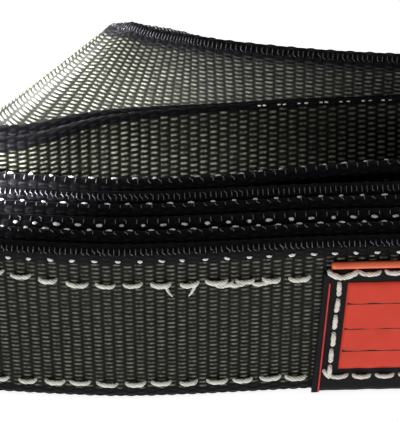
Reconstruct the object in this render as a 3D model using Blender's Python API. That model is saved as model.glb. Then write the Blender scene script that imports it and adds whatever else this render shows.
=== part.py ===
"""Two-ply eye-and-eye web sling, folded into a storage bundle that stands on its edges.

All stations below are in millimetres. X runs along the bundle, Y goes from the tagged
front run to the back, and Z is up from the surface that the edges stand on.
"""
import math

import bmesh
import bpy
import numpy as np
from mathutils import Vector

MM = 0.001
WIDTH = 50.8            # nominal two-inch webbing
PLY = 4.5               # thickness of one ply
GAP = 0.3               # clearance left between neighbouring solids
PAIR = 2 * PLY + GAP    # two plies sewn face to face
PITCH = PAIR + GAP      # from one body run to the next
EYE_GAP = 0.7           # clearance between the plain eye's leaning legs
STEP = 5.0              # length of one facet along the webbing
TIGHT_STEP = 1.6        # facet length around a hard fold
ORIGIN = (51.42, 65.61)   # centre of the bundle's footprint

FRONT_Y = PAIR / 2
MIDDLE_Y = FRONT_Y + PITCH
REAR_Y = MIDDLE_Y + PITCH
LEFT_END, RIGHT_END = -66.0, 150.0
REAR_END = -56.0        # where the rear run turns into the plain eye's fold
FOLD_R = PITCH / 2
SETTLE, SETTLE_RUN = 1.0, 26.0    # the rear run steps back this much over its last stretch
EYE_FOLD_FOOT_R, EYE_FOLD_HEAD_R, EYE_FOLD_LIFT = 5.0, 8.2, 0.7
FLARE = 3.9             # how far the rear run's last ply stands open at its head
FLARE_X = (8, 48, 90, 140)        # where that starts, is full, and closes again
EYE_TIP_X, EYE_TIP_Y, EYE_TIP_LEAN = 102.0, 50.0, 5   # the legs part here round the bight
ROOT_X, ROOT_Y = 172.0, 48.0      # where the tag eye's two legs leave the sewn pair
BODY_END = ((ROOT_X, ROOT_Y), (171.5, 33), (167.5, 19.5), (159, 11.5))
SPLICE_ROWS = (9.0, 17.0, 25.0, 33.0, 41.0)
DENSE = 24              # rulings worked out between two stations

# How far the whole stack bows back from a straight line, at chosen places along X.
BOW_X = (-75, -50, -35, -17, 0, 25, 50, 90, 150)
BOW_Y = (4.2, 1.9, 0.7, 0.0, 0.8, 2.6, 3.6, 4.2, 4.4)

UPPER_SEAM, LOWER_SEAM = 40.5, 5.8
THREAD_R = 0.6
TAG = {"left": 29.4, "right": 112.0, "top": 43.6, "bottom": 0.6, "thick": 0.9}
LABEL = {"left": 35.0, "right": 104.0, "top": 39.4, "bottom": 9.2, "thick": 0.4}
TAG_STRIP = 1.9         # height of the folded strip along the tag's top
STRIP_INDENT = 3.4      # that strip starts this far in from the tag's corner
TAG_SLANT = 0.045       # the tag is sewn on slightly out of square
TAG_SEAM = 2.6          # from the label's edge out to the stitch line round it
TAG_SEAM_END = 2.4      # the stitch line stops this short of closing

FABRIC = (0.055, 0.054, 0.044)
THREAD = (0.66, 0.65, 0.58)
BLACK = (0.012, 0.012, 0.014)
ORANGE = (0.80, 0.10, 0.035)


def clear_scene():
    for obj in list(bpy.data.objects):
        bpy.data.objects.remove(obj, do_unlink=True)


def make_material(name, colour, roughness):
    material = bpy.data.materials.new(name)
    material.use_nodes = True
    shader = material.node_tree.nodes["Principled BSDF"]
    shader.inputs["Base Color"].default_value = (*colour, 1.0)
    shader.inputs["Roughness"].default_value = roughness
    shader.inputs["Metallic"].default_value = 0.0
    return material


def bow(x):
    """Smooth bow of the stack: a cubic through the chosen places."""
    return float(through(np.array([[px, py] for px, py in zip(BOW_X, BOW_Y)]), x))


def through(points, x):
    """Height at x of a monotone-safe cubic through points sorted by their first value."""
    xs, ys = points[:, 0], points[:, 1]
    slopes = np.gradient(ys, xs)
    k = int(np.clip(np.searchsorted(xs, x) - 1, 0, len(xs) - 2))
    h = xs[k + 1] - xs[k]
    t = np.clip((x - xs[k]) / h, 0.0, 1.0)
    keep = (1 + 2 * t) * (1 - t) ** 2 * ys[k] + t * t * (3 - 2 * t) * ys[k + 1]
    turn = t * (1 - t) ** 2 * h * slopes[k] - t * t * (1 - t) * h * slopes[k + 1]
    return keep + turn


def upright(x, y):
    """A ruling that stands straight up at (x, y): its foot, then its head."""
    return (x, y, 0.0, x, y, WIDTH)


def leaning(x, y, degrees):
    """A ruling with its foot at (x, y) that leans back, lifted so that no corner sinks."""
    lean = math.radians(degrees)
    foot = (PLY + EYE_GAP) * math.sin(lean)
    return (x, y, foot, x, y + WIDTH * math.sin(lean), foot + WIDTH * math.cos(lean))


def run(base, start, end, extra=lambda x: 0.0, pieces=9):
    """Upright rulings along one straight body run, bowed with the stack."""
    return [upright(x, base + bow(x) + extra(x)) for x in np.linspace(start, end, pieces)]


def half_turn(x, foot, head, side, lift=0.0, pieces=9):
    """Rulings of a U-turn about x. foot and head are (centre y, radius); lift is at its end."""
    rulings = []
    for share in np.linspace(0, 1, pieces):
        out, back = side * math.sin(math.pi * share), -math.cos(math.pi * share)
        rulings.append((x + foot[1] * out, foot[0] + foot[1] * back, lift * share,
                        x + head[1] * out, head[0] + head[1] * back, WIDTH + lift * share / 2))
    return rulings


def flow(rulings):
    """Dense strip through the given rulings: foot, head and unit normal in each row.

    The curve is a cubic with DENSE rows to a span, whose slope at each ruling leans towards
    the shorter span beside it. The normal is on the left-hand side as the strip runs.
    """
    pts = np.array(rulings, float)
    span = np.linalg.norm(np.diff((pts[:, :3] + pts[:, 3:]) / 2, axis=0), axis=1)
    slope = np.diff(pts, axis=0) / span[:, None]
    before, after = span[:-1, None], span[1:, None]
    inside = (slope[:-1] * after + slope[1:] * before) / (before + after)
    tangent = np.vstack([slope[:1], inside, slope[-1:]])
    t = np.linspace(0, 1, DENSE, endpoint=False)[:, None]
    dense = [(1 + 2 * t) * (1 - t) ** 2 * pts[k] + t * t * (3 - 2 * t) * pts[k + 1]
             + h * (t * (1 - t) ** 2 * tangent[k] - t * t * (1 - t) * tangent[k + 1])
             for k, h in enumerate(span)]
    dense = np.vstack(dense + [pts[-1:]])
    along = np.gradient((dense[:, :3] + dense[:, 3:]) / 2, axis=0)
    sides = np.cross(dense[:, 3:] - dense[:, :3], along)
    sides /= np.linalg.norm(sides, axis=1)[:, None]
    return np.hstack([dense, sides])


def stretch(strip, first, last, step):
    """The strip from one station to another, in even facets, clear of what adjoins it."""
    part = strip[first * DENSE:last * DENSE + 1]
    middle = (part[:, :3] + part[:, 3:6]) / 2
    along = np.concatenate([[0], np.cumsum(np.linalg.norm(np.diff(middle, axis=0), axis=1))])
    count = max(3, int(round(along[-1] / step)) + 1)
    places = np.linspace(GAP / 2, along[-1] - GAP / 2, count)
    return np.array([[np.interp(p, along, part[:, k]) for k in range(9)] for p in places])


def offset(strip, distance):
    """The same strip moved along its own normals, such as one ply of a pair."""
    shift = strip[:, 6:] * distance
    return np.hstack([strip[:, :3] + shift, strip[:, 3:6] + shift, strip[:, 6:]])


def link(obj, material, collection):
    obj.data.materials.append(material)
    collection.objects.link(obj)
    return obj


def web(name, strip, material, collection, rows=1, thickness=PLY):
    """One ply of webbing: a four-sided section lofted along the strip, with closed ends."""
    centre = np.array([ORIGIN[0], ORIGIN[1], 0.0])
    mesh = bmesh.new()
    rings = []
    for station in strip:
        foot, head, side = station[:3] - centre, station[3:6] - centre, station[6:]
        shares = np.linspace(0, 1, rows + 1)
        faces = [[foot + (head - foot) * s + side * half for s in shares]
                 for half in (thickness / 2, -thickness / 2)]
        ring = faces[0] + faces[1][::-1]
        rings.append([mesh.verts.new(Vector(point) * MM) for point in ring])
    size = len(rings[0])
    for one, other in zip(rings, rings[1:]):
        for k in range(size):
            mesh.faces.new((one[k], one[(k + 1) % size], other[(k + 1) % size], other[k]))
    for ring in (rings[0], rings[-1]):
        for k in range(rows):
            mesh.faces.new((ring[k], ring[k + 1], ring[size - 2 - k], ring[size - 1 - k]))
    bmesh.ops.recalc_face_normals(mesh, faces=mesh.faces)
    data = bpy.data.meshes.new(name)
    mesh.to_mesh(data)
    mesh.free()
    return link(bpy.data.objects.new(name, data), material, collection)


def thread(name, points, material, collection):
    """A sewing thread lying on the webbing, as one round-section line."""
    curve = bpy.data.curves.new(name, "CURVE")
    curve.dimensions = "3D"
    curve.bevel_depth = THREAD_R * MM
    curve.bevel_resolution = 1
    curve.use_fill_caps = True
    spline = curve.splines.new("POLY")
    spline.points.add(len(points) - 1)
    for point, (x, y, z) in zip(spline.points, points):
        point.co = ((x - ORIGIN[0]) * MM, (y - ORIGIN[1]) * MM, z * MM, 1.0)
    return link(bpy.data.objects.new(name, curve), material, collection)


def on_face(strip, height, lift):
    """Points at one height across a strip, lifted off its left-hand face."""
    share = height / WIDTH
    return strip[:, :3] * (1 - share) + strip[:, 3:6] * share + strip[:, 6:] * lift


def whole_body():
    """Rulings of the sewn pair from the tag eye's root to the plain eye, with named cuts."""
    first_y = (FRONT_Y + MIDDLE_Y) / 2 + bow(LEFT_END)
    second_y = (MIDDLE_Y + REAR_Y) / 2 + bow(RIGHT_END)
    rear_y = REAR_Y + bow(REAR_END) + SETTLE
    foot, head = EYE_FOLD_FOOT_R, EYE_FOLD_HEAD_R
    settle = lambda x: float(np.interp(x, (REAR_END, REAR_END + SETTLE_RUN), (SETTLE, 0.0)))
    stretches = {
        "body_end": [upright(x, y) for x, y in BODY_END],
        "front": run(FRONT_Y, RIGHT_END, LEFT_END, pieces=15),
        "left_fold": half_turn(LEFT_END, (first_y, FOLD_R), (first_y, FOLD_R), -1),
        "middle": run(MIDDLE_Y, LEFT_END, RIGHT_END, pieces=15),
        "right_fold": half_turn(RIGHT_END, (second_y, FOLD_R), (second_y, FOLD_R), 1),
        "rear": run(REAR_Y, RIGHT_END, REAR_END, settle, pieces=15),
        "eye_fold": half_turn(REAR_END, (rear_y + foot, foot), (rear_y + head, head), -1,
                              lift=EYE_FOLD_LIFT),
        "plain_eye": plain_eye(),
    }
    rulings, cuts = [], {}
    for name, part in stretches.items():
        if rulings and np.allclose(rulings[-1], part[0], atol=0.01):
            part = part[1:]
        first = max(len(rulings) - 1, 0)
        rulings += part
        cuts[name] = (first, len(rulings) - 1)
    return rulings, cuts


def tag_eye():
    """The loop at the tagged end: an upright leg, a canted tip and a leg that leans on it."""
    half = (PLY + GAP) / 2
    leg = [(ROOT_X - half, ROOT_Y), (168.8, 57), (163, 66.5), (150, 72.8), (130, 75), (90, 75),
           (53, 75.9), (26.8, 78.4)]
    inner = [upright(x, y) for x, y in leg] + [(0.4, 83, 0.25, 0.4, 83, WIDTH)]
    tip = [(-12, 85.2, 0.6, -5, 84.5, WIDTH), (-30, 89.5, 2.6, -13, 87.5, 50.6),
           (-43.5, 92.2, 6.0, -18.3, 90.7, 49.8), (-54, 93.2, 7.2, -21.3, 94.5, 46.5),
           (-58.3, 97.0, 8.0, -21.5, 97.9, 43.3), (-55, 105, 6, -18.5, 100.4, 41),
           (-41, 114.5, 2.6, -10, 100.6, 38.3)]
    outer = [(-20, 125, 2.8, 2, 98.5, 35.5), (10, 130.5, 2.7, 20, 95, 35.2),
             (51, 130.0, 2.5, 53, 92, 35.5), (90, 126.5, 2.0, 90, 91.5, 38.4),
             (131, 117, 1.2, 130, 91, 44.4), (160, 97, 0.6, 159, 85, 50),
             (172.6, 72, 0.1, 172.4, 69.5, WIDTH), upright(ROOT_X + half, ROOT_Y)]
    return inner, tip, outer


def plain_eye():
    """The loop at the other end, closed flat and leaning back over the way it came."""
    places = [(-43, 36.8, 10), (-25, 34.9, 23), (0.4, 34.4, 33.5), (26, 36.4, 35), (52, 38.2, 34),
              (66, 41, 27), (80, 44.5, 19), (EYE_TIP_X, EYE_TIP_Y, EYE_TIP_LEAN)]
    return [leaning(*place) for place in places]


def plain_eye_tip():
    """The open bight: the front ply swings out round the gap and back into the rear ply."""
    half = (PLY + EYE_GAP) / 2
    side = [(5, 4.6), (10, 7.4), (15.5, 7.4), (19.4, 4.4)]
    points = [(0.5, -half)] + [(x, -y) for x, y in side] + [(20.8, 0)]
    points += [(x, y) for x, y in reversed(side)] + [(1.6, half)]
    return [leaning(EYE_TIP_X + x, EYE_TIP_Y + y, EYE_TIP_LEAN) for x, y in points]


def build_body(webbing, collection):
    """Both plies of every stretch, each on its own side of the pair's mid-surface."""
    names = {
        "body_end": ("body_end_outer_ply", "body_end_inner_ply"),
        "front": ("front_run_outer_ply", "front_run_inner_ply"),
        "left_fold": ("left_fold_outer_ply", "left_fold_inner_ply"),
        "middle": ("middle_run_rear_ply", "middle_run_front_ply"),
        "right_fold": ("right_fold_inner_ply", "right_fold_outer_ply"),
        "rear": ("rear_run_front_ply", "rear_run_rear_ply"),
        "eye_fold": ("plain_eye_fold_outer_ply", "plain_eye_fold_inner_ply"),
        "plain_eye": ("plain_eye_rear_leg", "plain_eye_front_leg"),
    }
    rulings, cuts = whole_body()
    pair = flow(rulings)
    for stretch_name, plies in names.items():
        step = TIGHT_STEP if "fold" in stretch_name else STEP
        for name, side in zip(plies, (1, -1)):
            apart = EYE_GAP if stretch_name == "plain_eye" else GAP
            piece = offset(stretch(pair, *cuts[stretch_name], step), side * (PLY + apart) / 2)
            if name == "rear_run_rear_ply":
                piece[:, 4] += np.interp(piece[:, 3], FLARE_X, (0.0, FLARE, FLARE, 0.0))
            web(name, piece, webbing, collection, rows=4 if "eye" in name else 1)


def build_eyes(webbing, collection):
    inner, tip, outer = tag_eye()
    loop = flow(inner + tip + outer)
    cut_a, cut_b = len(inner), len(inner) + len(tip) - 1
    last = len(inner) + len(tip) + len(outer) - 1
    web("tag_eye_inner_leg", stretch(loop, 0, cut_a, STEP), webbing, collection, rows=2)
    web("tag_eye_tip", stretch(loop, cut_a, cut_b, STEP / 2), webbing, collection, rows=4)
    web("tag_eye_outer_leg", stretch(loop, cut_b, last, STEP), webbing, collection, rows=3)
    bight = flow(plain_eye_tip())
    last = len(plain_eye_tip()) - 1
    web("plain_eye_tip", stretch(bight, 0, last, TIGHT_STEP * 1.5), webbing, collection, rows=2)


def tag_patch(name, box, lift, material, collection):
    """A thin panel on the front run's face, following its bow."""
    rulings = []
    for x in np.linspace(box["right"], box["left"], 12):
        y = bow(x) - lift - box["thick"] / 2
        top_x = x + TAG_SLANT * (box["top"] - box["bottom"])
        rulings.append((x, y, box["bottom"], top_x, y + bow(top_x) - bow(x), box["top"]))
    panel = stretch(flow(rulings), 0, len(rulings) - 1, STEP)
    return web(name, panel, material, collection, thickness=box["thick"])


def build_tag(materials, collection):
    tag_patch("tag_backing", TAG, GAP, materials["black"], collection)
    tag_patch("tag_label", LABEL, 2 * GAP + TAG["thick"], materials["orange"], collection)
    foot = TAG["top"] + GAP
    strip = dict(TAG, bottom=foot, top=foot + TAG_STRIP, left=TAG["left"] + STRIP_INDENT)
    tag_patch("tag_top_strip", strip, GAP, materials["orange"], collection)
    lift = 2 * GAP + TAG["thick"] + THREAD_R
    left, right = LABEL["left"] - TAG_SEAM, LABEL["right"] + TAG_SEAM
    low, high = LABEL["bottom"] - TAG_SEAM, LABEL["top"] + TAG_SEAM
    route = [(left, low, right, low), (right, low, right, high), (right, high, left, high),
             (left, high, left, low + TAG_SEAM_END)]
    points = []
    for x0, z0, x1, z1 in route:
        for t in np.linspace(0, 1, 9, endpoint=False):
            x, z = x0 + (x1 - x0) * t, z0 + (z1 - z0) * t
            x += TAG_SLANT * (z - low)
            points.append((x, bow(x) - lift, z))
    thread("tag_thread", points, materials["thread"], collection)


def build_threads(materials, collection):
    """Lockstitch lines along both edges of the outer face, and the splice at the tag eye."""
    face = PAIR / 2 + GAP + THREAD_R
    rulings, cuts = whole_body()
    pair = flow(rulings)
    front = stretch(pair, *cuts["front"], STEP)
    for name, height in (("upper_edge_thread", UPPER_SEAM), ("lower_edge_thread", LOWER_SEAM)):
        line = on_face(front, height, face)
        thread(name, line[line[:, 0] < TAG["left"] - 1.0], materials["thread"], collection)
    end = stretch(pair, *cuts["body_end"], STEP / 2)
    route = []
    for k, height in enumerate(SPLICE_ROWS):
        line = on_face(end, height, face)[2:-6]
        route += list(line if k % 2 == 0 else line[::-1])
    thread("eye_splice_thread", route, materials["thread"], collection)


def main():
    clear_scene()
    collection = bpy.data.collections.new("web_sling")
    bpy.context.scene.collection.children.link(collection)
    webbing = make_material("webbing", FABRIC, 0.85)
    materials = {
        "thread": make_material("thread", THREAD, 0.7),
        "black": make_material("tag_backing", BLACK, 0.6),
        "orange": make_material("tag_label", ORANGE, 0.45),
    }
    build_body(webbing, collection)
    build_eyes(webbing, collection)
    build_tag(materials, collection)
    build_threads(materials, collection)


main()
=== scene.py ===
"""Looks of the folded two-ply web sling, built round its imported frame.

Stations are in millimetres in the maker's own layout; ORIGIN moves them to the row frame.
"""
import math

import bpy
import numpy as np
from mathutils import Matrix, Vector


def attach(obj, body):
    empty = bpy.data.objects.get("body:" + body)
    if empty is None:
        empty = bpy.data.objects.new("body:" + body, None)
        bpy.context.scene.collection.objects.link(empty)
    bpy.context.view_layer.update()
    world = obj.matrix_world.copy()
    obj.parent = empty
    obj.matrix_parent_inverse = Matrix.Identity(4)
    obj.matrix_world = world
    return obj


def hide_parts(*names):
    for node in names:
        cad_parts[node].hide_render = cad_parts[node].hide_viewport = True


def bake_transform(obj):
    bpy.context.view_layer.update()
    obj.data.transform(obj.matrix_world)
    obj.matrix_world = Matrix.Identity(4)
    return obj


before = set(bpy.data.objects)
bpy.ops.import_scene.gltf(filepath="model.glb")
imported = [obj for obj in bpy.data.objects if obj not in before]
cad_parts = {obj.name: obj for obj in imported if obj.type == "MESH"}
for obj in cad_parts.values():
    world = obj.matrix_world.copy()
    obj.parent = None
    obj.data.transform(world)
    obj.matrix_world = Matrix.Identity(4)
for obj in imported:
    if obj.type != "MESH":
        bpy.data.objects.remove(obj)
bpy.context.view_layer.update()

# ---------------------------------------------------------------- the webbing's route
MM = 0.001
WIDTH = 50.8                            # the webbing's width
PLY = 4.5                               # and its thickness
GAP = 0.3                               # clearance between neighbouring plies
PAIR = 2 * PLY + GAP                    # the two sewn plies together
PITCH = PAIR + GAP                      # from one run's middle to the next
EYE_GAP = 0.7                           # clearance between the plain eye's legs
ORIGIN = (51.42, 65.61)
SHIFT = np.array([ORIGIN[0], ORIGIN[1], 0.0])
FRONT_Y = PAIR / 2
MIDDLE_Y = FRONT_Y + PITCH
REAR_Y = MIDDLE_Y + PITCH
LEFT_END, RIGHT_END = -66.0, 150.0      # where the folds between the runs begin
REAR_END = -56.0                        # where the plain eye's fold begins
FOLD_R = PITCH / 2
SETTLE, SETTLE_RUN = 1.0, 26.0          # the rear run stands off a little at its left end
EYE_FOLD_FOOT_R, EYE_FOLD_HEAD_R, EYE_FOLD_LIFT = 5.0, 8.2, 0.7
FLARE = 3.9                             # how far the rear ply's upper edge leans back
FLARE_X = (8, 48, 90, 140)
EYE_TIP_X, EYE_TIP_Y, EYE_TIP_LEAN = 102.0, 50.0, 5
ROOT_X, ROOT_Y = 172.0, 48.0            # the tag eye's root
BODY_END = ((ROOT_X, ROOT_Y), (171.5, 33), (167.5, 19.5), (159, 11.5))
RUN_STATIONS = 15
FOLD_STATIONS = 9
DENSE = 24                              # rows between two stations
BOW_X = (-75, -50, -35, -17, 0, 25, 50, 90, 150)
BOW_Y = (4.2, 1.9, 0.7, 0.0, 0.8, 2.6, 3.6, 4.2, 4.4)

# ---------------------------------------------------------------- weave
NOMINAL_RIB = 2.6       # one pick along the webbing, before it is fitted to the loop
ROWS_PER_RIB = 4
BEAD = 0.7              # one warp end across it
COARSE = 4              # warp ends per point on a face that lies hidden
CORNER = 1.7            # rounding of the selvages across the webbing
CORNER_POINTS = 7
SQUARENESS = 0.72       # 1 makes the rounding elliptical, 0 square
HALF = 2.17             # half the webbing's thickness under the weave's relief
RELIEF = 0.15
SWELL, SWELL_AT, SWELL_WIDTH = 0.10, 1.9, 1.2       # the selvages are a little thicker
SMOOTH_REACH, SMOOTH_WIDTH = 6, 2.2                 # rows over which the route is smoothed


def bow(x):
    """How far the runs bend away from a straight line at x."""
    xs, ys = np.array(BOW_X, float), np.array(BOW_Y, float)
    slopes = np.gradient(ys, xs)
    k = int(np.clip(np.searchsorted(xs, x) - 1, 0, len(xs) - 2))
    h = xs[k + 1] - xs[k]
    t = np.clip((x - xs[k]) / h, 0.0, 1.0)
    keep = (1 + 2 * t) * (1 - t) ** 2 * ys[k] + t * t * (3 - 2 * t) * ys[k + 1]
    turn = t * (1 - t) ** 2 * h * slopes[k] - t * t * (1 - t) * h * slopes[k + 1]
    return float(keep + turn)


def upright(x, y):
    """A ruling across the webbing: foot and head, one above the other."""
    return (x, y, 0.0, x, y, WIDTH)


def leaning(x, y, degrees):
    """A ruling whose head leans back, raised so that its foot clears the ground."""
    lean = math.radians(degrees)
    foot = (PLY + EYE_GAP) * math.sin(lean)
    return (x, y, foot, x, y + WIDTH * math.sin(lean), foot + WIDTH * math.cos(lean))


def settle(x):
    """How far the rear run stands off at x."""
    return float(np.interp(x, (REAR_END, REAR_END + SETTLE_RUN), (SETTLE, 0.0)))


def run(base, start, end, extra=lambda x: 0.0):
    return [upright(x, base + bow(x) + extra(x)) for x in np.linspace(start, end, RUN_STATIONS)]


def half_turn(x, foot, head, side, lift=0.0):
    """A fold that turns back at x. Foot and head are each (middle y, radius)."""
    rulings = []
    for share in np.linspace(0, 1, FOLD_STATIONS):
        out, back = side * math.sin(math.pi * share), -math.cos(math.pi * share)
        rulings.append((x + foot[1] * out, foot[0] + foot[1] * back, lift * share,
                        x + head[1] * out, head[0] + head[1] * back, WIDTH + lift * share / 2))
    return rulings


def sided(rows):
    """The rows with a unit normal added, on the left-hand side as the strip runs."""
    along = np.gradient((rows[:, :3] + rows[:, 3:6]) / 2, axis=0)
    sides = np.cross(rows[:, 3:6] - rows[:, :3], along)
    return np.hstack([rows[:, :6], sides / np.linalg.norm(sides, axis=1)[:, None]])


def flow(rulings):
    """Dense strip through the given rulings: foot, head and unit normal in each row."""
    pts = np.array(rulings, float)
    span = np.linalg.norm(np.diff((pts[:, :3] + pts[:, 3:]) / 2, axis=0), axis=1)
    slope = np.diff(pts, axis=0) / span[:, None]
    before, after = span[:-1, None], span[1:, None]
    inside = (slope[:-1] * after + slope[1:] * before) / (before + after)
    tangent = np.vstack([slope[:1], inside, slope[-1:]])
    t = np.linspace(0, 1, DENSE, endpoint=False)[:, None]
    dense = [(1 + 2 * t) * (1 - t) ** 2 * pts[k] + t * t * (3 - 2 * t) * pts[k + 1]
             + h * (t * (1 - t) ** 2 * tangent[k] - t * t * (1 - t) * tangent[k + 1])
             for k, h in enumerate(span)]
    return sided(np.vstack(dense + [pts[-1:]]))


def whole_body():
    """Rulings of the sewn pair from the tag eye's root to the plain eye, with named cuts."""
    first_y = (FRONT_Y + MIDDLE_Y) / 2 + bow(LEFT_END)
    second_y = (MIDDLE_Y + REAR_Y) / 2 + bow(RIGHT_END)
    rear_y = REAR_Y + bow(REAR_END) + SETTLE
    foot, head = EYE_FOLD_FOOT_R, EYE_FOLD_HEAD_R
    stretches = {
        "body_end": [upright(x, y) for x, y in BODY_END],
        "front": run(FRONT_Y, RIGHT_END, LEFT_END),
        "left_fold": half_turn(LEFT_END, (first_y, FOLD_R), (first_y, FOLD_R), -1),
        "middle": run(MIDDLE_Y, LEFT_END, RIGHT_END),
        "right_fold": half_turn(RIGHT_END, (second_y, FOLD_R), (second_y, FOLD_R), 1),
        "rear": run(REAR_Y, RIGHT_END, REAR_END, settle),
        "eye_fold": half_turn(REAR_END, (rear_y + foot, foot), (rear_y + head, head), -1,
                              lift=EYE_FOLD_LIFT),
        "plain_eye": plain_eye(),
    }
    rulings, cuts = [], {}
    for name, part in stretches.items():
        if rulings and np.allclose(rulings[-1], part[0], atol=0.01):
            part = part[1:]
        first = max(len(rulings) - 1, 0)
        rulings += part
        cuts[name] = (first * DENSE, (len(rulings) - 1) * DENSE)
    return flow(rulings), cuts


def tag_eye():
    """Rows of the tag eye's single webbing: inner leg, tip and outer leg."""
    half = (PLY + GAP) / 2
    leg = [(ROOT_X - half, ROOT_Y), (168.8, 57), (163, 66.5), (150, 72.8), (130, 75), (90, 75),
           (53, 75.9), (26.8, 78.4)]
    inner = [upright(x, y) for x, y in leg] + [(0.4, 83, 0.25, 0.4, 83, WIDTH)]
    tip = [(-12, 85.2, 0.6, -5, 84.5, WIDTH), (-30, 89.5, 2.6, -13, 87.5, 50.6),
           (-43.5, 92.2, 6.0, -18.3, 90.7, 49.8), (-54, 93.2, 7.2, -21.3, 94.5, 46.5),
           (-58.3, 97.0, 8.0, -21.5, 97.9, 43.3), (-55, 105, 6, -18.5, 100.4, 41),
           (-41, 114.5, 2.6, -10, 100.6, 38.3)]
    outer = [(-20, 125, 2.8, 2, 98.5, 35.5), (10, 130.5, 2.7, 20, 95, 35.2),
             (51, 130.0, 2.5, 53, 92, 35.5), (90, 126.5, 2.0, 90, 91.5, 38.4),
             (131, 117, 1.2, 130, 91, 44.4), (160, 97, 0.6, 159, 85, 50),
             (172.6, 72, 0.1, 172.4, 69.5, WIDTH), upright(ROOT_X + half, ROOT_Y)]
    return flow(inner + tip + outer)


def plain_eye():
    """Rulings of the plain eye's pair, from its fold to the start of its tip."""
    places = [(-43, 36.8, 10), (-25, 34.9, 23), (0.4, 34.4, 33.5), (26, 36.4, 35), (52, 38.2, 34),
              (66, 41, 27), (80, 44.5, 19), (EYE_TIP_X, EYE_TIP_Y, EYE_TIP_LEAN)]
    return [leaning(*place) for place in places]


def plain_eye_tip():
    """Rows of the small bight where the plain eye's two legs join."""
    half = (PLY + EYE_GAP) / 2
    side = [(5, 4.6), (10, 7.4), (15.5, 7.4), (19.4, 4.4)]
    points = [(0.5, -half)] + [(x, -y) for x, y in side] + [(20.8, 0)]
    points += [(x, y) for x, y in reversed(side)] + [(1.6, half)]
    return flow([leaning(EYE_TIP_X + x, EYE_TIP_Y + y, EYE_TIP_LEAN) for x, y in points])


def whole_loop():
    """The sling as one closed loop of single webbing, outside on the left.

    Returns the evenly spaced rows, the row range of each named part and the fitted rib.
    """
    pair, cuts = whole_body()
    apart = np.full(len(pair), (PLY + GAP) / 2)
    a, b = cuts["eye_fold"]
    apart[a:b + 1] = np.linspace((PLY + GAP) / 2, (PLY + EYE_GAP) / 2, b - a + 1)
    apart[b:] = (PLY + EYE_GAP) / 2

    def ply(side, first, last):
        """One ply of the pair over the named stretches; the inside one runs back."""
        rows = pair[cuts[first][0]:cuts[last][1] + 1].copy()
        shift = rows[:, 6:] * (side * apart[cuts[first][0]:cuts[last][1] + 1])[:, None]
        rows[:, :3] += shift
        rows[:, 3:6] += shift
        if side < 0:
            a, b = cuts["rear"][0] - cuts[first][0], cuts["rear"][1] - cuts[first][0]
            if first == "right_fold":
                rows[a:b, 4] += np.interp(rows[a:b, 3], FLARE_X, (0.0, FLARE, FLARE, 0.0))
            rows = rows[::-1]
        return rows[:, :6]

    parts = {
        "end_inner": ply(-1, "body_end", "body_end"),
        "tag_eye": tag_eye()[:, :6],
        "end_outer": ply(1, "body_end", "body_end"),
        "runs_outer": ply(1, "front", "middle"),
        "rear_outer": ply(1, "right_fold", "rear"),
        "eye_outer": ply(1, "eye_fold", "plain_eye"),
        "bight": plain_eye_tip()[::-1, :6],
        "eye_inner": ply(-1, "eye_fold", "plain_eye"),
        "rear_inner": ply(-1, "right_fold", "rear"),
        "runs_inner": ply(-1, "front", "middle"),
    }
    rows, marks = [], {}
    for name, part in parts.items():
        first = sum(map(len, rows))
        rows.append(part)
        marks[name] = (first, first + len(part))
    rows = np.vstack(rows + [rows[0][:1]])
    middle = (rows[:, :3] + rows[:, 3:6]) / 2
    along = np.concatenate([[0], np.cumsum(np.linalg.norm(np.diff(middle, axis=0), axis=1))])
    picks = 2 * int(round(along[-1] / NOMINAL_RIB / 2))     # even, so that the weave closes
    places = np.linspace(0, along[-1], picks * ROWS_PER_RIB, endpoint=False)
    even = np.stack([np.interp(places, along, rows[:, k]) for k in range(6)], axis=1)
    reach = SMOOTH_REACH
    kernel = np.exp(-0.5 * (np.arange(-reach, reach + 1) / SMOOTH_WIDTH) ** 2)
    kernel /= kernel.sum()
    padded = np.vstack([even[-reach:], even, even[:reach]])
    even = np.stack([np.convolve(padded[:, k], kernel, "valid") for k in range(6)], axis=1)
    ring = sided(np.vstack([even[-2:], even, even[:2]]))[2:-2]
    ends = {name: tuple(int(np.searchsorted(places, along[min(k, len(along) - 1)]))
                        for k in mark) for name, mark in marks.items()}
    return ring, ends, along[-1] / picks


ROWS, PARTS, RIB = whole_loop()
STEP = RIB / ROWS_PER_RIB
LOOP = len(ROWS)


def span(part, last=None):
    """Distances along the loop where a part starts and ends, or where a later one ends."""
    return PARTS[part][0] * STEP, PARTS[last or part][1] * STEP


EYE_START, EYE_STOP = span("eye_outer", "eye_inner")
THIN, THIN_FROM, THIN_FULL = 2.4, 14, 40
# distance along the loop, and how many times narrower the dark upper edge is there
THIN_EDGE = ((0.0, EYE_START + THIN_FROM, EYE_START + THIN_FULL,
              EYE_STOP - THIN_FULL, EYE_STOP - THIN_FROM, LOOP * STEP),
             (1.0, 1.0, THIN, THIN, 1.0, 1.0))


def squared(value):
    return math.copysign(abs(value) ** SQUARENESS, value)


def section():
    """Points (across the webbing, out of its middle) round the webbing's section."""
    faces = int(round((WIDTH - 2 * CORNER) / BEAD))
    across = np.linspace(CORNER, WIDTH - CORNER, faces + 1)
    turn = [(CORNER * squared(math.sin(t)), HALF * squared(math.cos(t)))
            for t in np.linspace(0, math.pi, CORNER_POINTS + 2)[1:-1]]
    points = [(a, HALF) for a in across]
    points += [(WIDTH - CORNER + a, b) for a, b in turn]
    points += [(a, -HALF) for a in across[::-1]]
    points += [(CORNER - a, -b) for a, b in turn]
    return np.array(points)


SECTION = section()


def thinned(shape):
    """The section with fewer points on its inside face, and each point's own number."""
    inner = np.where(shape[:, 1] <= -HALF + 1e-6)[0]
    keep = np.ones(len(shape), bool)
    keep[inner] = False
    keep[inner[::COARSE]] = True
    keep[inner[-1]] = True
    return shape[keep], np.arange(len(shape))[keep]


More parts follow.
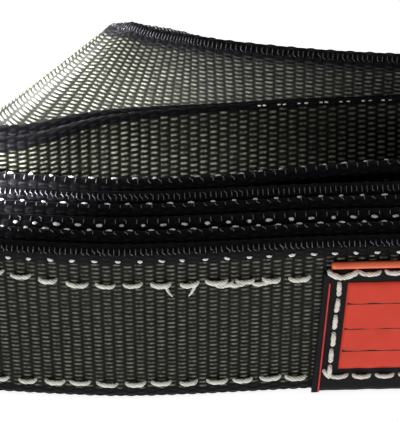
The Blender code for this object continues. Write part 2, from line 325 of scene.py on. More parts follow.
def relief(pick, ids, inset):
    """Height of the weave over the plain section, for each row and point."""
    rib = np.abs(np.sin(math.pi * pick))[:, None]
    parity = np.where((np.floor(pick).astype(int)[:, None] + ids[None, :]) % 2 == 0, 1.0, -1.0)
    wobble = 0.5 + 0.5 * np.sin(ids * 2.39 + 1.0)[None, :]
    height = RELIEF * (rib * (0.75 + 0.1 * wobble) - 0.55) + RELIEF * 0.62 * parity * rib
    swell = SWELL * np.exp(-((inset - SWELL_AT) / SWELL_WIDTH) ** 2)
    return height + swell[None, :]


def tube_quads(n, m):
    """Quads of a tube of n rows of m points; each end is closed across its two faces."""
    i, k = np.arange(n - 1)[:, None], np.arange(m)[None, :]
    sides = np.stack([i * m + k, i * m + (k + 1) % m, (i + 1) * m + (k + 1) % m,
                      (i + 1) * m + k], axis=-1).reshape(-1, 4)
    caps = []
    for base, flip in ((0, False), ((n - 1) * m, True)):
        for j in range(m // 2 - 1):
            face = [base + j, base + m - 1 - j, base + m - 2 - j, base + j + 1]
            caps.append(face[::-1] if flip else face)
    return sides, np.vstack([sides, np.array(caps)])


def in_frame(points):
    return (np.asarray(points) - SHIFT) * MM


def finished(name, mesh, material):
    """Object of a smooth mesh in one material, linked into the scene."""
    mesh.polygons.foreach_set("use_smooth", np.ones(len(mesh.polygons), bool))
    mesh.materials.append(material)
    mesh.update()
    obj = bpy.data.objects.new(name, mesh)
    bpy.context.scene.collection.objects.link(obj)
    return obj


def webbing(name, first, last, material, fine_inside):
    """One length of webbing between two row indices of the loop, with its weave in relief."""
    index = np.arange(first, last + 1)
    pick = index / ROWS_PER_RIB
    rows = ROWS[index % LOOP]
    shape, ids = (SECTION, np.arange(len(SECTION))) if fine_inside else thinned(SECTION)
    a, b = shape[:, 0], shape[:, 1]
    inset = np.minimum(a, WIDTH - a)
    height = relief(pick, ids, inset)
    # the weave rises along the normal on the faces, and outwards round the selvages
    on_face = np.abs(b) >= HALF - 1e-6
    out_b = np.where(on_face, np.sign(b), b / HALF)
    out_a = np.where(on_face, 0.0, np.where(a > WIDTH / 2, 1, -1) *
                     np.sqrt(np.clip(1 - (b / HALF) ** 2, 0, 1)))
    across = (rows[:, 3:6] - rows[:, :3])
    unit = across / np.linalg.norm(across, axis=1)[:, None]
    co = (rows[:, None, :3] + unit[:, None, :] * (a[None, :, None] + (out_a * height)[:, :, None])
          + rows[:, None, 6:] * (b[None, :, None] + (out_b * height)[:, :, None]))
    n, m = co.shape[:2]
    sides, faces = tube_quads(n, m)
    mesh = bpy.data.meshes.new(name)
    mesh.vertices.add(n * m)
    mesh.vertices.foreach_set("co", in_frame(co).reshape(-1))
    mesh.loops.add(faces.size)
    mesh.loops.foreach_set("vertex_index", faces.reshape(-1).astype(np.int32))
    mesh.polygons.add(len(faces))
    mesh.polygons.foreach_set("loop_start", (np.arange(len(faces)) * 4).astype(np.int32))
    mesh.update(calc_edges=True)
    # the weave's own coordinates: picks along the loop, warp ends round the section
    row_of, point_of = faces.reshape(-1) // m, faces.reshape(-1) % m
    quad_of = np.repeat(np.arange(len(faces)), 4)
    wraps = (quad_of < len(sides)) & ((quad_of % m) == m - 1) & (point_of == 0)
    v = np.where(wraps, float(len(SECTION)), ids[point_of].astype(float))
    uv = mesh.uv_layers.new(name="weave")
    uv.data.foreach_set("uv", np.stack([pick[row_of], v], axis=1).reshape(-1))
    # distance in from the nearer selvage, which says where the webbing is black
    thin = np.interp(index * STEP, *THIN_EDGE)[:, None]
    shown = np.where(a[None, :] > WIDTH / 2, inset[None, :] * thin, inset[None, :])
    attribute = mesh.attributes.new("inset", "FLOAT", "POINT")
    attribute.data.foreach_set("value", shown.reshape(-1).astype(np.float32))
    mesh.validate()
    return finished(name, mesh, material)


# ---------------------------------------------------------------- materials
def nodes_of(name):
    material = bpy.data.materials.new(name)
    material.use_nodes = True
    tree = material.node_tree
    return material, tree, tree.nodes["Principled BSDF"]


class Wire:
    """Short spellings for building a node tree."""

    def __init__(self, tree):
        self.tree = tree

    def node(self, kind, **settings):
        node = self.tree.nodes.new(kind)
        for key, value in settings.items():
            setattr(node, key, value)
        return node

    def put(self, socket, value):
        if isinstance(value, bpy.types.NodeSocket):
            self.tree.links.new(value, socket)
        else:
            socket.default_value = value

    def math(self, operation, one, two=0.0, three=0.0):
        node = self.node("ShaderNodeMath", operation=operation)
        for socket, value in zip(node.inputs, (one, two, three)):
            self.put(socket, value)
        return node.outputs[0]

    def mix(self, share, one, two):
        node = self.node("ShaderNodeMix", data_type="RGBA")
        self.put(node.inputs["Factor"], share)
        self.put(node.inputs[6], one)
        self.put(node.inputs[7], two)
        return node.outputs[2]

    def smooth(self, value, low, high):
        node = self.node("ShaderNodeMapRange", interpolation_type="SMOOTHSTEP")
        for socket, v in zip(node.inputs, (value, low, high, 0.0, 1.0)):
            self.put(socket, v)
        return node.outputs[0]

    def noise(self, scale, detail, vector, rough=0.5):
        node = self.node("ShaderNodeTexNoise")
        node.inputs["Scale"].default_value = scale
        node.inputs["Detail"].default_value = detail
        node.inputs["Roughness"].default_value = rough
        self.put(node.inputs["Vector"], vector)
        return node.outputs["Fac"]

    def place(self):
        return self.node("ShaderNodeTexCoord").outputs["Object"]

    def bump(self, height, strength, distance):
        node = self.node("ShaderNodeBump")
        node.inputs["Strength"].default_value = strength
        node.inputs["Distance"].default_value = distance
        self.put(node.inputs["Height"], height)
        return node.outputs[0]


# the weave's colours: near-black painted shade in the gaps, and the olive yarn brightened into a
# painted highlight on top of each crossing
YARN_PAINTED_SHADE, YARN_OLIVE_AND_HIGHLIGHT = (0.0016, 0.0016, 0.0013, 1), (0.195, 0.197, 0.152, 1)
YARN_WORN, WORN_SHARE = (0.018, 0.018, 0.014, 1), 0.35
# the selvages' own black, and the painted bluish sheen on top of their crossings
SELVAGE_DARK, SELVAGE_PAINTED_SHEEN = (0.0006, 0.0006, 0.0010, 1), (0.0075, 0.0075, 0.0115, 1)
SELVAGE_EDGE, SELVAGE_RAGGED = (4.85, 4.05), 1.6        # where black turns to olive
SMALL_SCALE, YARN_SCALE, LARGE_SCALE = 900.0, 2600.0, 38.0


def webbing_material():
    """Olive weave with black selvages; a painted highlight on top of each crossing and painted
    shade between, and a painted bluish sheen on the selvages' crossings.
    """
    material, tree, shader = nodes_of("web_sling_webbing")
    w = Wire(tree)
    uv = w.node("ShaderNodeUVMap", uv_map="weave").outputs[0]
    parts = w.node("ShaderNodeSeparateXYZ")
    w.put(parts.inputs[0], uv)
    u, v = parts.outputs[0], parts.outputs[1]
    rib = w.math("SINE", w.math("MULTIPLY", u, math.pi))
    end = w.math("COSINE", w.math("MULTIPLY", v, math.pi))
    weave = w.math("MULTIPLY_ADD", w.math("MULTIPLY", rib, end), 0.5, 0.5)
    valley = w.smooth(w.math("ABSOLUTE", rib), 0.10, 0.80)
    place = w.place()
    large = w.noise(LARGE_SCALE, 3.0, place)
    small = w.noise(SMALL_SCALE, 2.0, place)
    yarn = w.noise(YARN_SCALE, 2.0, place, 0.7)
    # painted highlight on top of each crossing, fading to painted shade in the valleys between
    # the ribs
    lit = w.math("MULTIPLY", w.smooth(weave, 0.35, 1.0), valley)
    lit = w.math("MULTIPLY", lit, w.math("MULTIPLY_ADD", w.smooth(small, 0.3, 0.7), 0.85, 0.25))
    olive = w.mix(lit, YARN_PAINTED_SHADE, YARN_OLIVE_AND_HIGHLIGHT)
    worn = w.math("MULTIPLY", w.smooth(large, 0.35, 0.75), WORN_SHARE)
    olive = w.mix(worn, olive, YARN_WORN)
    inset = w.node("ShaderNodeAttribute", attribute_name="inset").outputs["Fac"]
    ragged = w.math("MULTIPLY_ADD", small, SELVAGE_RAGGED, inset)
    edge = w.smooth(ragged, *SELVAGE_EDGE)
    # black selvage, with a painted sheen on the tops of its crossings
    black = w.mix(w.math("MULTIPLY", w.smooth(weave, 0.55, 1.0), 0.8),
                  SELVAGE_DARK, SELVAGE_PAINTED_SHEEN)
    w.put(shader.inputs["Base Color"], w.mix(edge, olive, black))
    w.put(shader.inputs["Roughness"], w.math("MULTIPLY_ADD", yarn, 0.25, 0.42))
    shader.inputs["Specular IOR Level"].default_value = 0.10
    shader.inputs["Sheen Weight"].default_value = 0.02
    shader.inputs["Sheen Roughness"].default_value = 0.4
    rise = w.math("MULTIPLY_ADD", yarn, 0.35, w.math("MULTIPLY", weave, valley))
    w.put(shader.inputs["Normal"], w.bump(rise, 0.55, 0.00022))
    return material


def thread_material(name, light, dark, rough=0.62):
    """Twisted yarn: fine slanted plies and a little grime."""
    material, tree, shader = nodes_of(name)
    w = Wire(tree)
    place = w.place()
    wave = w.node("ShaderNodeTexWave", wave_type="BANDS", bands_direction="DIAGONAL")
    wave.inputs["Scale"].default_value = 620.0
    wave.inputs["Distortion"].default_value = 2.5
    wave.inputs["Detail"].default_value = 1.0
    w.put(wave.inputs["Vector"], place)
    grime = w.noise(420.0, 3.0, place)
    share = w.math("MULTIPLY_ADD", wave.outputs["Fac"], 0.35, w.math("MULTIPLY", grime, 0.75))
    colour = w.mix(w.smooth(share, 0.2, 0.62), dark, light)
    w.put(shader.inputs["Base Color"], colour)
    shader.inputs["Roughness"].default_value = rough
    shader.inputs["Sheen Weight"].default_value = 0.15
    w.put(shader.inputs["Normal"], w.bump(wave.outputs["Fac"], 0.5, 0.00015))
    return material


def vinyl_material(name, colour, worn, rough, grain, level=0.4):
    """Smooth coated cloth: a faint grain, soft wear and uneven gloss."""
    material, tree, shader = nodes_of(name)
    w = Wire(tree)
    place = w.place()
    grime = w.noise(160.0, 4.0, place)
    pebble = w.noise(grain, 2.0, place)
    w.put(shader.inputs["Base Color"],
          w.mix(w.math("MULTIPLY", w.smooth(grime, 0.45, 0.8), 0.55), colour, worn))
    w.put(shader.inputs["Roughness"], w.math("MULTIPLY_ADD", grime, 0.25, rough))
    shader.inputs["Specular IOR Level"].default_value = level
    w.put(shader.inputs["Normal"], w.bump(pebble, 0.25, 0.0001))
    return material


WEB = webbing_material()
STITCH = thread_material("web_sling_thread", (0.80, 0.79, 0.71, 1), (0.34, 0.33, 0.27, 1))
# white dots that stand in as painted glints on the black selvages
PAINTED_GLINT = thread_material("web_sling_painted_glint", (0.92, 0.92, 0.90, 1), (0.45, 0.45, 0.46, 1), 0.45)
# grey ticks that stand in as painted glints on the black selvages
GLINT_FLECK = thread_material("web_sling_painted_glint_fleck", (0.20, 0.20, 0.23, 1), (0.02, 0.02, 0.028, 1), 0.4)
COARSE_GRAIN, FINE_GRAIN = 1800.0, 2500.0
BACKING = vinyl_material("web_sling_tag_backing", (0.004, 0.004, 0.005, 1),
                         (0.012, 0.012, 0.014, 1), 0.5, FINE_GRAIN, 0.12)
ORANGE = vinyl_material("web_sling_tag_label", (0.62, 0.042, 0.018, 1),
                        (0.51, 0.037, 0.018, 1), 0.38, COARSE_GRAIN, 0.25)
BAR = vinyl_material("web_sling_tag_strip", (0.90, 0.16, 0.06, 1),
                     (0.70, 0.08, 0.03, 1), 0.25, COARSE_GRAIN, 0.7)
RED = vinyl_material("web_sling_tag_piping", (0.55, 0.022, 0.018, 1),
                     (0.30, 0.012, 0.010, 1), 0.4, COARSE_GRAIN)
INK = vinyl_material("web_sling_tag_ink", (0.012, 0.008, 0.008, 1),
                     (0.03, 0.02, 0.02, 1), 0.5, COARSE_GRAIN)


# ---------------------------------------------------------------- webbing pieces
def replaced(obj, nodes):
    """Hide the CAD nodes that a piece stands for, and give the piece back."""
    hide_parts(*nodes)
    return obj


TAG_EYE = (PARTS["end_inner"][0], PARTS["end_outer"][1])
PLAIN_EYE = (PARTS["eye_outer"][0], PARTS["eye_inner"][1])
INNER_RUNS = (PARTS["runs_inner"][0], LOOP)
eye = webbing("tag_eye_webbing", *TAG_EYE, WEB, True)
outer = webbing("outer_ply_webbing", *PARTS["runs_outer"], WEB, False)
rear_front = webbing("rear_run_front_webbing", *PARTS["rear_outer"], WEB, True)
rear = webbing("plain_eye_webbing", *PLAIN_EYE, WEB, False)
rear_back = webbing("rear_run_rear_webbing", *PARTS["rear_inner"], WEB, True)
inner = webbing("inner_ply_webbing", *INNER_RUNS, WEB, False)
replaced(eye, ["tag_eye_inner_leg", "tag_eye_tip", "tag_eye_outer_leg",
                          "body_end_outer_ply", "body_end_inner_ply"])
replaced(outer, ["front_run_outer_ply", "left_fold_outer_ply", "middle_run_rear_ply"])
replaced(inner, ["front_run_inner_ply", "left_fold_inner_ply", "middle_run_front_ply"])
replaced(rear_front, ["right_fold_inner_ply", "rear_run_front_ply"])
replaced(rear_back, ["rear_run_rear_ply", "right_fold_outer_ply"])
replaced(rear, ["plain_eye_fold_outer_ply", "plain_eye_rear_leg", "plain_eye_tip",
                           "plain_eye_front_leg", "plain_eye_fold_inner_ply"])


# ---------------------------------------------------------------- stitches and small threads
class Strands:
    """Collects short round threads into one mesh."""

    def __init__(self):
        self.verts, self.faces = [], []

    def strand(self, points, normals, radii, flat=1.0, sides=8, twist=0.0):
        """Tube through the points; flat squashes it, twist turns a two-ply rope section."""
        points, normals = np.array(points, float), np.array(normals, float)
        along = np.gradient(points, axis=0)
        along /= np.linalg.norm(along, axis=1)[:, None]
        wide = np.cross(along, normals)
        wide /= np.linalg.norm(wide, axis=1)[:, None]
        high = np.cross(wide, along)
        angle = np.linspace(0, 2 * math.pi, sides, endpoint=False)
        base = len(self.verts)
        for j, (p, a, b, r) in enumerate(zip(points, wide, high, radii)):
            for t in angle:
                rope = r * (1 + 0.10 * math.cos(2 * (t - twist * j))) if twist else r
                self.verts.append(p + a * rope * math.cos(t) + b * rope * flat * math.sin(t))
        n = len(points)
        for j in range(n - 1):
            for k in range(sides):
                after = (k + 1) % sides
                self.faces.append((base + j * sides + k, base + j * sides + after,
                                   base + (j + 1) * sides + after, base + (j + 1) * sides + k))
        self.faces.append(tuple(base + k for k in range(sides))[::-1])
        self.faces.append(tuple(base + (n - 1) * sides + k for k in range(sides)))

    def make(self, name, material):
        mesh = bpy.data.meshes.new(name)
        mesh.from_pydata(in_frame(self.verts).tolist(), [], self.faces)
        return finished(name, mesh, material)


def upward(row):
    """Unit vector across the webbing, from foot to head."""
    return (row[3:6] - row[:3]) / np.linalg.norm(row[3:6] - row[:3])


def on(s, across, lift, side=1.0):
    """Point and normal on the webbing at distance s along the loop, lifted off a face."""
    place = (s / STEP) % LOOP
    k = int(place)
    t = place - k
    row = ROWS[k] * (1 - t) + ROWS[(k + 1) % LOOP] * t
    unit = upward(row)
    return row[:3] + unit * across + row[6:] * side * (PLY / 2 + lift), row[6:] * side


def at_x(part, x):
    """Distance along the loop of the row of a part whose middle lies nearest x."""
    a, b = PARTS[part]
    mids = (ROWS[np.arange(a, b) % LOOP, 0] + ROWS[np.arange(a, b) % LOOP, 3]) / 2
    return (a + int(np.argmin(np.abs(mids - x)))) * STEP


rng = np.random.default_rng(7)
THREAD_R = 0.66
STITCH_PITCH, STITCH_LENGTH = 6.75, 5.2
STITCH_SAG = 0.28
UPPER_SEAM, LOWER_SEAM = 40.5, 5.8      # heights of the two edge seams
CLIMB, CLIMB_X = 3.2, (-50, -32)        # the upper seam climbs towards the left fold


def dash(strands, s, length, across, radius, side=1.0, slope=0.0, lift=0.0):
    """One sewn stitch that dives into the webbing at both ends."""
    points, normals, radii = [], [], []
    for t in np.linspace(-1, 1, 13):
        sag = -STITCH_SAG * (1 - t * t)
        rise = radius * (0.95 - 1.9 * abs(t) ** 5)
        p, n = on(s + t * length / 2, across + sag + slope * t, lift + rise, side)
        points.append(p)
        normals.append(n)
        radii.append(radius * (1.0 - 0.45 * abs(t) ** 6))
    strands.strand(points, normals, radii, flat=0.82, twist=0.75)


def seam(strands, start, stop, height, side=1.0, pitch=STITCH_PITCH, length=STITCH_LENGTH):
    """A row of stitches at a height, which is a number or a function of the distance."""
    count = int(abs(stop - start) / pitch)
    for k in range(count):
        s = start + (stop - start) * (k + 0.5) / count
        wander = rng.uniform(-0.3, 0.3)
        size = length * rng.uniform(0.86, 1.08)
        tall = height(s) if callable(height) else height
        thick = THREAD_R * rng.uniform(0.9, 1.12)
        slope = rng.uniform(-0.3, 0.3)
        dash(strands, s + wander, size, tall + rng.uniform(-0.2, 0.2), thick, side, slope)


FRONT_LEFT = at_x("runs_outer", -60)    # the front run ends and its fold begins
TAG_EDGE = at_x("runs_outer", 28.2)
OUTER_START, OUTER_STOP = span("runs_outer")
SEAM_BREAK = (FRONT_LEFT + 14, FRONT_LEFT + 18)     # the seams are broken within the left fold
SEAM_END = OUTER_STOP - 4


def upper_height(s):
    x = on(s, WIDTH / 2, 0)[0][0]
    return UPPER_SEAM + 0.1 + CLIMB * float(np.interp(x, CLIMB_X, (1.0, 0.0)))


upper, lower = Strands(), Strands()
seam(upper, TAG_EDGE, SEAM_BREAK[0], upper_height)
seam(lower, TAG_EDGE, SEAM_BREAK[0], LOWER_SEAM)
for x in (6.2, 9.6, 15.2):          # back-tacks sewn twice over the upper seam
    dash(upper, at_x("runs_outer", x), 4.6, 40.0, 0.6, slope=-0.35, lift=0.25)
for x, lean in ((-7.9, 0.9), (-5.6, 0.3), (-0.9, -0.9), (0.9, -0.2)):   # frayed thread ends
    s = at_x("runs_outer", x)
    points, normals = [], []
    for t in np.linspace(0, 1, 6):
        p, n = on(s - lean * 1.8 * t, 39.8 - 3.1 * t, 0.5 + 0.5 * math.sin(2.6 * t))
        points.append(p)
        normals.append(n)
    upper.strand(points, normals, [0.42, 0.4, 0.36, 0.3, 0.22, 0.1], sides=6)
seam(upper, SEAM_BREAK[1], SEAM_END, UPPER_SEAM)
seam(lower, SEAM_BREAK[1], SEAM_END, LOWER_SEAM)
upper = replaced(upper.make("upper_edge_stitching", STITCH), ["upper_edge_thread"])
lower = replaced(lower.make("lower_edge_stitching", STITCH), ["lower_edge_thread"])

rear_seams = Strands()
REAR_START, REAR_STOP = span("rear_inner")
for height in (LOWER_SEAM, UPPER_SEAM):
    seam(rear_seams, REAR_START + 3, REAR_STOP - 3, height)
# the thread's other face, on the side of the rear ply that flares open
seam(rear_seams, REAR_START + 88, REAR_STOP - 45, 43.2, side=-1.0, pitch=8.2, length=4.4)
rear_seams = rear_seams.make("rear_run_stitching", STITCH)

splice = Strands()
SPLICE_START, SPLICE_STOP = span("end_outer")
SPLICE_HEIGHTS, SPLICE_PITCH = (9.0, 17.0, 25.0, 33.0, 41.0), 6.3
for height in SPLICE_HEIGHTS:
    seam(splice, SPLICE_START + 2.5, SPLICE_STOP - 7.0, height, pitch=SPLICE_PITCH)
splice = replaced(splice.make("eye_splice_stitching", STITCH), ["eye_splice_thread"])


def shoulder(s, angle, lift):
    """Point and outward direction on the upper selvage's rounding, angle up from a face."""
    place = (s / STEP) % LOOP
    row = ROWS[int(place)]
    unit = upward(row)
    up, out = math.sin(angle), math.cos(angle)
    p = (row[:3] + unit * (WIDTH - CORNER + (CORNER + lift) * up)
         + row[6:] * (HALF + lift) * out)
    return p, unit * up + row[6:] * out


# size and spacing of the white dots painted as glints on the selvages
GLINT_PITCH, GLINT_LENGTH, GLINT_R = 2 * RIB, 1.5, 0.44
# size and spacing of the grey ticks painted as glints on the selvages
GLINT_FLECK_PITCH, GLINT_FLECK_R = RIB / 2, 0.13


def glint_dots(strands, start, stop, angle, length=GLINT_LENGTH, radius=GLINT_R, face=None):
    """White dots of thread once in two picks, on the upper selvage or at a height: painted glints
    on the black selvage.
    """
    count = int(abs(stop - start) / GLINT_PITCH)
    for k in range(count):
        s = start + (stop - start) * (k + 0.5) / count + rng.uniform(-0.25, 0.25)
        size = length * rng.uniform(0.7, 1.15)
        thick = radius * rng.uniform(0.8, 1.1)
        tilt = rng.uniform(-0.06, 0.1)
        points, normals, radii = [], [], []
        for t in np.linspace(-1, 1, 7):
            if face is None:
                p, n = shoulder(s + t * size / 2, angle + tilt * t, 0.22 - 0.42 * t ** 4)
            else:
                p, n = on(s + t * size / 2, face + tilt * 3 * t, 0.18 - 0.42 * t ** 4)
            points.append(p)
            normals.append(n)
            radii.append(thick * math.sqrt(max(0.12, 1 - t * t)))
        strands.strand(points, normals, radii, flat=0.8, sides=6)


def glint_flecks(strands, start, stop, low, high, pitch=GLINT_FLECK_PITCH):
    """Fine grey ticks across the rounding of the upper selvage, painted as glints on the black
    selvage.
    """
    count = int(abs(stop - start) / pitch)
    for k in range(count):
        s = start + (stop - start) * (k + 0.5) / count + rng.uniform(-0.12, 0.12)
        points, normals = [], []
        for t in np.linspace(0, 1, 4):
            p, n = shoulder(s + 0.35 * t, low + (high - low) * t, 0.16)
            points.append(p)
            normals.append(n)
        strands.strand(points, normals, [GLINT_FLECK_R * f for f in (0.5, 1.0, 1.0, 0.5)], sides=5)


deg = math.radians
INNER_START, INNER_STOP = span("runs_inner")
SECOND_RUN = FRONT_LEFT + 22            # where the outer ply shows again, past the left fold
# painted glints along the selvages: white dots and grey ticks
white, grey = Strands(), Strands()
glint_dots(white, OUTER_START - 8, FRONT_LEFT - 6, 0, face=WIDTH - 2.5)
glint_dots(white, SECOND_RUN, OUTER_STOP, deg(48))
# painted glints as grey ticks across the selvages' rounding
glint_flecks(grey, OUTER_START - 6, FRONT_LEFT, deg(28), deg(74))
glint_dots(white, INNER_START, INNER_STOP, deg(50))
glint_flecks(grey, INNER_START, INNER_STOP, deg(62), deg(100), pitch=RIB)
glint_flecks(grey, SECOND_RUN, OUTER_STOP, deg(62), deg(100), pitch=RIB)
glint_flecks(grey, *span("rear_outer"), deg(40), deg(90))
glint_dots(white, REAR_START, REAR_STOP, deg(52))
glint_flecks(grey, REAR_START, REAR_STOP, deg(60), deg(110), pitch=RIB)
bundle_white = white.make("selvage_painted_glint_dots", PAINTED_GLINT)
bundle_grey = grey.make("selvage_painted_glint_flecks", GLINT_FLECK)

# painted glints as white dots along the plain eye's selvage
white = Strands()
LEG_START, LEG_SHOWN = span("eye_inner")[0], 88.0
glint_dots(white, LEG_START, LEG_START + LEG_SHOWN, deg(35), length=1.0, radius=0.24)
glint_dots(white, LEG_START + 1.6, LEG_START + LEG_SHOWN + 1.6, deg(35), length=0.9, radius=0.22)
eye_white = white.make("plain_eye_painted_glint_dots", PAINTED_GLINT)

# painted glints as grey ticks on the tag eye's selvage
grey = Strands()
glint_flecks(grey, *span("tag_eye"), deg(30), deg(80))
glint_flecks(grey, *span("end_inner"), deg(40), deg(100), pitch=RIB)
eye_grey = grey.make("tag_eye_painted_glint_flecks", GLINT_FLECK)

# ---------------------------------------------------------------- tag
TAG = {"left": 29.4, "right": 112.0, "top": 43.6, "bottom": 0.6}
LABEL = {"left": 35.0, "right": 104.0, "top": 39.4, "bottom": 9.2}
TAG_STRIP = 1.9                         # width of the folded strip
STRIP_INDENT = 1.2
TAG_SLANT = 0.045                       # the tag's side edges lean to the right
TAG_SEAM = 2.4                          # how far below the label its lower seam runs
PATCH_BACK, PATCH_FRONT = GAP - 0.1, 1.25       # depths off the webbing's face
HEM_FRONT = 1.55
LABEL_BACK, LABEL_FRONT = 1.05, 1.75
STRIP_FRONT = 1.9
PIPING_BACK, PIPING_FRONT = 1.3, 1.85
RULE_BACK, RULE_FRONT, RULE_HALF = 1.5, 1.95, 0.3
RULE_HEIGHTS = (32.4, 23.6, 15.8)


def panel(name, left, right, bottom, top, back, front, material, corner=0.9, step=1.2,
          crown=0.0, wave=0.0):
    """A patch on the front run's face that follows its bow, with rounded edges.

    Its front stands out by crown half way up, and ripples by wave.
    """
    xs = np.arange(0, 1.0001, step / (right - left))
    zs = np.linspace(0, 1, max(3, int((top - bottom) / step) + 1))

    def patch_point(u, v, y_out):
        z = bottom + (top - bottom) * v
        x = left + (right - left) * u + TAG_SLANT * (z - TAG["bottom"])
        inset_u = min(u, 1 - u) * (right - left)
        inset_v = min(v, 1 - v) * (top - bottom)
        near = min(inset_u, inset_v)
        round_off = (front - back) * 0.45 * max(0.0, 1 - near / corner) ** 2
        puff = crown * math.sin(math.pi * v) * min(1, near / 3)
        ripple = wave * math.sin(x * 0.9 + z * 0.4) * math.sin(x * 0.23 + 1.1)
        lift = (y_out - round_off if y_out == front else y_out + round_off * 0.3)
        return (x, bow(x) - lift - (puff + ripple if y_out == front else 0.0), z)

    n, m = len(xs), len(zs)
    verts = [patch_point(u, v, depth) for depth in (front, back) for u in xs for v in zs]
    faces = []
    for i in range(n - 1):
        for j in range(m - 1):
            q = (i * m + j, (i + 1) * m + j, (i + 1) * m + j + 1, i * m + j + 1)
            faces.append(q)
            faces.append(tuple(k + n * m for k in q[::-1]))
    rim = [i * m for i in range(n)] + [(n - 1) * m + j for j in range(1, m)]
    rim += [i * m + m - 1 for i in range(n - 2, -1, -1)] + [j for j in range(m - 2, 0, -1)]
    for one, other in zip(rim, rim[1:] + rim[:1]):
        faces.append((other, one, one + n * m, other + n * m))
    mesh = bpy.data.meshes.new(name)
    mesh.from_pydata(in_frame(verts).tolist(), [], faces)
    return finished(name, mesh, material)


backing = panel("tag_backing_patch", TAG["left"], TAG["right"], TAG["bottom"],
                TAG["top"] + 0.2, PATCH_BACK, PATCH_FRONT, BACKING, crown=0.1, wave=0.1)
replaced(backing, ["tag_backing"])
hem = panel("tag_hem", TAG["left"] - 0.55, TAG["left"] + 1.5, TAG["bottom"] - 0.35,
            TAG["top"] - 1.2, PATCH_BACK, HEM_FRONT, BACKING, corner=0.8, step=0.5)
label = panel("tag_label_panel", LABEL["left"], LABEL["right"], LABEL["bottom"], LABEL["top"],
              LABEL_BACK, LABEL_FRONT, ORANGE, corner=0.5, crown=0.12, wave=0.08)
replaced(label, ["tag_label"])
strip = panel("tag_top_binding", TAG["left"] + STRIP_INDENT, TAG["right"], TAG["top"] + 0.35,
              TAG["top"] + 0.3 + TAG_STRIP, GAP, STRIP_FRONT, BAR, corner=0.9, step=0.5)
replaced(strip, ["tag_top_strip"])
piping = panel("tag_side_piping", TAG["left"] + 0.95, TAG["left"] + 1.4, TAG["bottom"] + 0.4,
               TAG["top"] - 4.0, PIPING_BACK, PIPING_FRONT, RED, corner=0.3, step=0.4)
rules = [panel("tag_rule_%d" % (k + 1), LABEL["left"] + 0.4, LABEL["right"] - 0.4,
               height - RULE_HALF, height + RULE_HALF, RULE_BACK, RULE_FRONT, INK,
               corner=0.1, step=0.6) for k, height in enumerate(RULE_HEIGHTS)]

tag_thread = Strands()
TAG_FACE = 1.3          # depth of the patch's face, where the stitches lie
BETWEEN = 1.1           # from one stitch to the next
TAG_SAG = 0.35


def tag_dash(x0, z0, x1, z1, radius=0.62, sag=0.0):
    """One stitch on the tag's face from one point to another, along x and z."""
    points, radii = [], []
    for t in np.linspace(-1, 1, 11):
        x = (x0 + x1) / 2 + (x1 - x0) / 2 * t
        z = (z0 + z1) / 2 + (z1 - z0) / 2 * t - sag * (1 - t * t)
        x += TAG_SLANT * (z - TAG["bottom"])
        points.append((x, bow(x) - TAG_FACE - radius * (0.9 - 1.5 * abs(t) ** 5), z))
        radii.append(radius * (1 - 0.4 * abs(t) ** 6))
    tag_thread.strand(points, [(0, -1, 0)] * len(points), radii, flat=0.85, twist=0.8)


low, high = LABEL["bottom"] - TAG_SEAM, LABEL["top"] + 3.0
side_x, far_x = LABEL["left"] - 2.1, LABEL["right"] + 2.1
z = high - 2.6
while z > low + 3.0:
    size = rng.uniform(4.4, 5.6)
    tag_dash(side_x + rng.uniform(-0.15, 0.15), z, side_x + rng.uniform(-0.2, 0.2), z - size)
    z -= size + BETWEEN
for x, height, lengths in ((side_x + 4.5, high + 0.6, (4.6, 5.6)),
                           (side_x + 0.2, low, (4.4, 5.2))):
    while x < LABEL["right"] + 1:
        size = rng.uniform(*lengths)
        tag_dash(x, height, x + size, height + rng.uniform(-0.2, 0.3), sag=TAG_SAG)
        x += size + BETWEEN
for z in np.arange(low + 1.5, high - 4, 6.2):
    tag_dash(far_x, z + 5, far_x, z)
# the left corners are sewn over twice
tag_dash(side_x - 3.0, high + 0.9, side_x + 0.9, high - 1.0, 0.78)
tag_dash(side_x + 0.1, high - 1.0, side_x + 4.2, high + 0.9, 0.74)
tag_dash(side_x - 1.6, low + 2.2, side_x + 0.4, low - 0.6, 0.6)
tag_stitch = replaced(tag_thread.make("tag_stitching", STITCH), ["tag_thread"])


for obj in (outer, inner, rear_front, rear_back, upper, lower, rear_seams, bundle_white,
            bundle_grey, backing, hem, label, strip, piping, tag_stitch, *rules):
    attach(obj, "bundle")
for obj in (eye, eye_grey, splice):
    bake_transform(obj)
# the plain eye's pieces have their placement baked into their meshes
for obj in (rear, eye_white):
    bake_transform(obj)

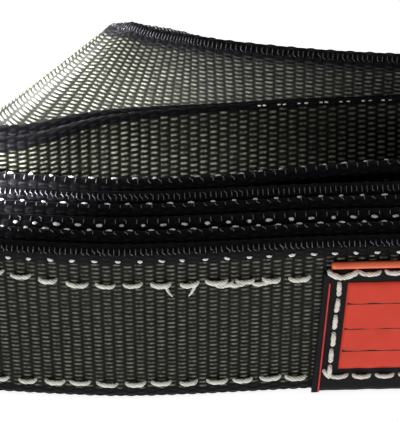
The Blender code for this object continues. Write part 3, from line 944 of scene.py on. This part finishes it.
# ---------------------------------------------------------------- floor, light, camera
scene = bpy.context.scene
FLOOR_HALF, FLOOR_Z = 4.0, -0.0004
floor_mesh = bpy.data.meshes.new("studio_floor")
floor_mesh.from_pydata([(x * FLOOR_HALF, y * FLOOR_HALF, FLOOR_Z)
                        for x, y in ((-1, -1), (1, -1), (1, 1), (-1, 1))], [], [(0, 1, 2, 3)])
floor = bpy.data.objects.new("studio_floor", floor_mesh)
scene.collection.objects.link(floor)
paint, _, shader = nodes_of("studio_floor")
shader.inputs["Base Color"].default_value = (0.94, 0.94, 0.94, 1)
shader.inputs["Roughness"].default_value = 0.95
shader.inputs["Specular IOR Level"].default_value = 0.0
shader.inputs["Emission Color"].default_value = (1, 1, 1, 1)
shader.inputs["Emission Strength"].default_value = 0.80
floor_mesh.materials.append(paint)

# a low sky over a floor that glows white, so that the dark webbing keeps its depth
world = bpy.data.worlds.new("studio")
scene.world = world
world.use_nodes = True
world.node_tree.nodes["Background"].inputs["Color"].default_value = (1, 1, 1, 1)
world.node_tree.nodes["Background"].inputs["Strength"].default_value = 0.24
scene.view_settings.view_transform = "Standard"


def area(name, place, target, width, power, spread=None):
    """A round white light, unseen by the camera; spread in degrees narrows its beam."""
    light = bpy.data.lights.new(name, "AREA")
    light.shape = "DISK"
    light.size = width
    light.energy = power
    if spread:
        light.spread = math.radians(spread)
    obj = bpy.data.objects.new(name, light)
    obj.location = place
    obj.rotation_euler = (Vector(target) - Vector(place)).to_track_quat("-Z", "Y").to_euler()
    obj.visible_camera = False
    scene.collection.objects.link(obj)


area("key", (-0.215, 0.030, 0.110), (-0.104, 0.026, 0.030), 0.04, 0.20, spread=25)
area("side", (-0.152, -0.065, 0.079), (-0.104, -0.030, 0.040), 0.02, 0.083, spread=44)
area("fill", (-0.35, -0.85, 0.19), (0.0, 0.0, 0.02), 0.35, 2.3)

camera_data = bpy.data.cameras.new("photo_view")
camera_data.lens = 215.5
camera_data.sensor_width = 36.0
camera_data.clip_end = 20.0
camera = bpy.data.objects.new("photo_view", camera_data)
camera.location = (-0.05103, -0.5080, 0.4705)
camera.rotation_euler = (math.radians(47.5), 0.0, 0.0)
scene.collection.objects.link(camera)
scene.camera = camera
